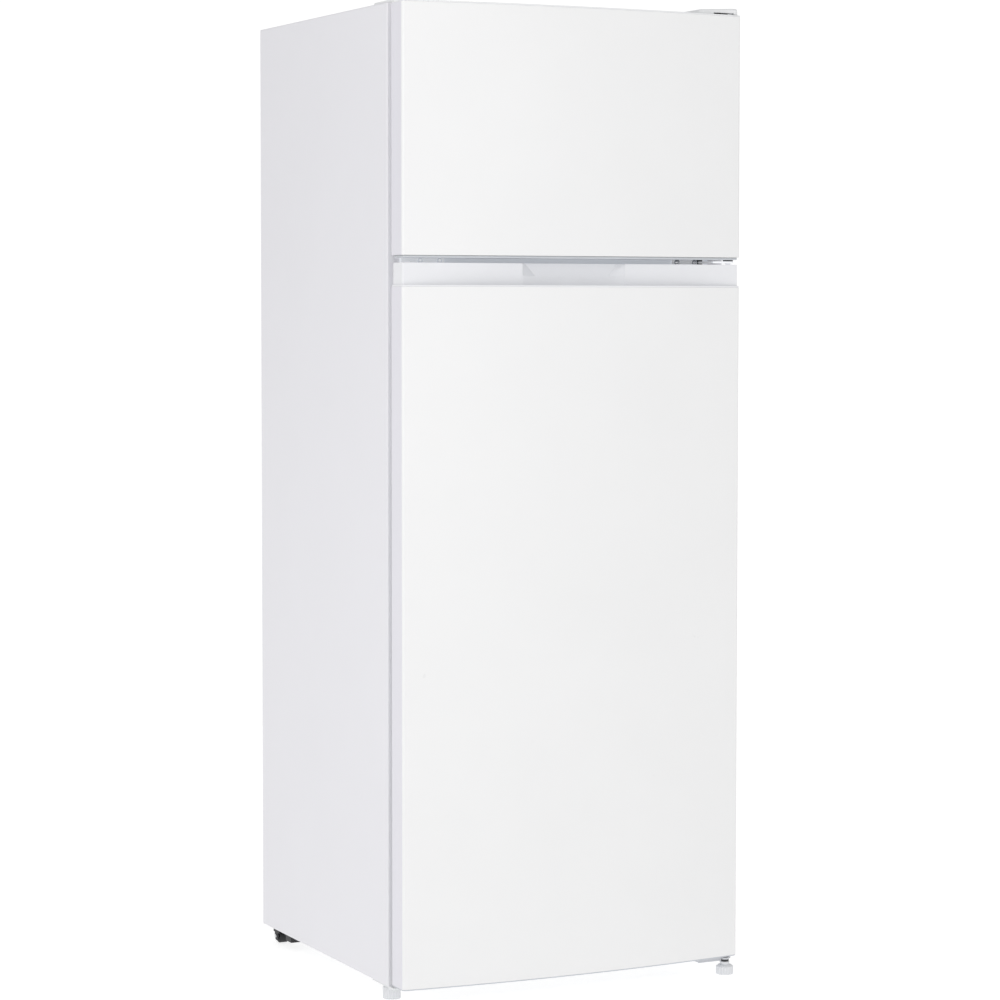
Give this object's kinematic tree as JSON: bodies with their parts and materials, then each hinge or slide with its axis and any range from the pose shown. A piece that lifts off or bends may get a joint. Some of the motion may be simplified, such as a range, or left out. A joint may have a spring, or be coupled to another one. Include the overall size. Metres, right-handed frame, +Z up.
{
  "type": "top freezer refrigerator",
  "caption": "Tall white cabinet with a freezer door over a fridge door, both hinged on the right, a finger recess between them, levelling feet in front and rollers behind.",
  "frame": {"origin": "centre of the footprint, on the floor", "axes": "+Z up, front faces -Y, +X to the viewer's right when facing the doors"},
  "size_m": [0.546, 0.556, 1.435],
  "materials": {
    "painted_steel": "smooth white enamel",
    "door_steel": "smooth white enamel",
    "zinc_steel": "zinc plated",
    "white_bracket": "white enamel",
    "dark_steel": "black enamel",
    "liner_plastic": "smooth vacuum-formed plastic",
    "white_plastic": "fine moulded plastic",
    "grey_plastic": "fine moulded plastic",
    "dark_plastic": "moulded plastic",
    "seal_vinyl": "soft vinyl",
    "black_rubber": "rubber",
    "foam": "rigid polyurethane foam",
    "clear_plastic": "clear plastic",
    "shelf_glass": "clear toughened glass",
    "copper_tube": "drawn copper",
    "evaporator_plate": "roll-bond plate"
  },
  "bodies": {
    "cabinet": {"outer_wrap": "painted_steel", "back_panel": "painted_steel", "base_plate": "zinc_steel", "cabinet_foam": "foam", "freezer_liner": "liner_plastic", "fridge_liner": "liner_plastic", "mid_beam": "grey_plastic", "condenser_tube": "copper_tube", "evaporator": "evaporator_plate", "compressor_tray": "zinc_steel", "compressor": "dark_steel", "compressor_grommets": "black_rubber", "relay_box": "dark_plastic", "drip_tray": "white_plastic", "filter_drier": "copper_tube", "copper_pipes": "copper_tube", "drain_tube": "white_plastic", "cord_gland": "dark_plastic", "roller_brackets": "dark_steel", "roller_axles": "zinc_steel", "foot_bracket_left": "white_bracket", "bottom_hinge": "white_bracket", "bottom_hinge_pin": "dark_steel", "mid_hinge": "white_bracket", "top_hinge": "zinc_steel", "top_hinge_cover": "white_plastic", "hinge_screws": "dark_steel", "mid_blank_plate": "grey_plastic", "mid_blank_plugs": "white_plastic", "top_left_cover": "white_plastic", "thermostat_housing": "white_plastic", "lamp_lens": "clear_plastic", "glass_shelves": "shelf_glass", "shelf_trims": "white_plastic", "crisper_cover": "shelf_glass", "freezer_shelf": "white_bracket"},
    "foot_left_lift": {"foot_left_stem": "zinc_steel"},
    "foot_left_turn": {"foot_left_knob": "white_plastic"},
    "foot_right_lift": {"foot_right_stem": "zinc_steel"},
    "foot_right_turn": {"foot_right_knob": "white_plastic"},
    "roller_left": {"roller_left": "dark_plastic"},
    "roller_right": {"roller_right": "dark_plastic"},
    "thermostat_dial": {"thermostat_knob": "white_plastic"},
    "crisper": {"crisper_drawer": "clear_plastic"},
    "freezer_door": {"freezer_door_skin": "door_steel", "freezer_door_foam": "foam", "freezer_door_liner": "liner_plastic", "freezer_door_gasket": "seal_vinyl", "freezer_door_top_cap": "white_plastic", "freezer_door_bottom_cap": "grey_plastic", "freezer_balconies": "clear_plastic"},
    "fridge_door": {"fridge_door_skin": "door_steel", "fridge_door_foam": "foam", "fridge_door_liner": "liner_plastic", "fridge_door_gasket": "seal_vinyl", "fridge_door_bottom_cap": "grey_plastic", "handle_trim": "white_plastic", "bottle_rack": "clear_plastic", "door_balconies": "clear_plastic"}
  },
  "joints": [
    {"name": "freezer_door_hinge", "type": "hinge", "parent": "cabinet", "child": "freezer_door", "pos_m": [0.26, -0.249, 1.0695], "axis": [0, 0, 1], "range_deg": [0, 130]},
    {"name": "fridge_door_hinge", "type": "hinge", "parent": "cabinet", "child": "fridge_door", "pos_m": [0.26, -0.249, 0.0253], "axis": [0, 0, 1], "range_deg": [0, 130]},
    {"name": "crisper_slide", "type": "slide", "parent": "cabinet", "child": "crisper", "axis": [0, -1, 0], "range_m": [0, 0.09]},
    {"name": "thermostat_turn", "type": "hinge", "parent": "cabinet", "child": "thermostat_dial", "pos_m": [0.035, -0.079, 1.0185], "axis": [0, 1, 0], "range_deg": [0, 270]},
    {"name": "roller_left_spin", "type": "hinge", "parent": "cabinet", "child": "roller_left", "pos_m": [-0.254, 0.244, 0.011], "axis": [1, 0, 0], "continuous": true},
    {"name": "roller_right_spin", "type": "hinge", "parent": "cabinet", "child": "roller_right", "pos_m": [0.254, 0.244, 0.011], "axis": [1, 0, 0], "continuous": true},
    {"name": "foot_left_slide", "type": "slide", "parent": "cabinet", "child": "foot_left_lift", "axis": [0, 0, 1], "range_m": [-0.00601, 0]},
    {"name": "foot_left_turn", "type": "hinge", "parent": "foot_left_lift", "child": "foot_left_turn", "pos_m": [-0.253, -0.178, 0], "axis": [0, 0, 1], "range_deg": [-1728, 0]},
    {"name": "foot_right_slide", "type": "slide", "parent": "cabinet", "child": "foot_right_lift", "axis": [0, 0, 1], "range_m": [-0.00601, 0]},
    {"name": "foot_right_turn", "type": "hinge", "parent": "foot_right_lift", "child": "foot_right_turn", "pos_m": [0.26, -0.249, 0], "axis": [0, 0, 1], "range_deg": [-1728, 0]}
  ],
  "couplings": [
    {"joint": "foot_left_slide", "follows": "foot_left_turn", "m_per_rad": 0.00019894},
    {"joint": "foot_right_slide", "follows": "foot_right_turn", "m_per_rad": 0.00019894}
  ]
}
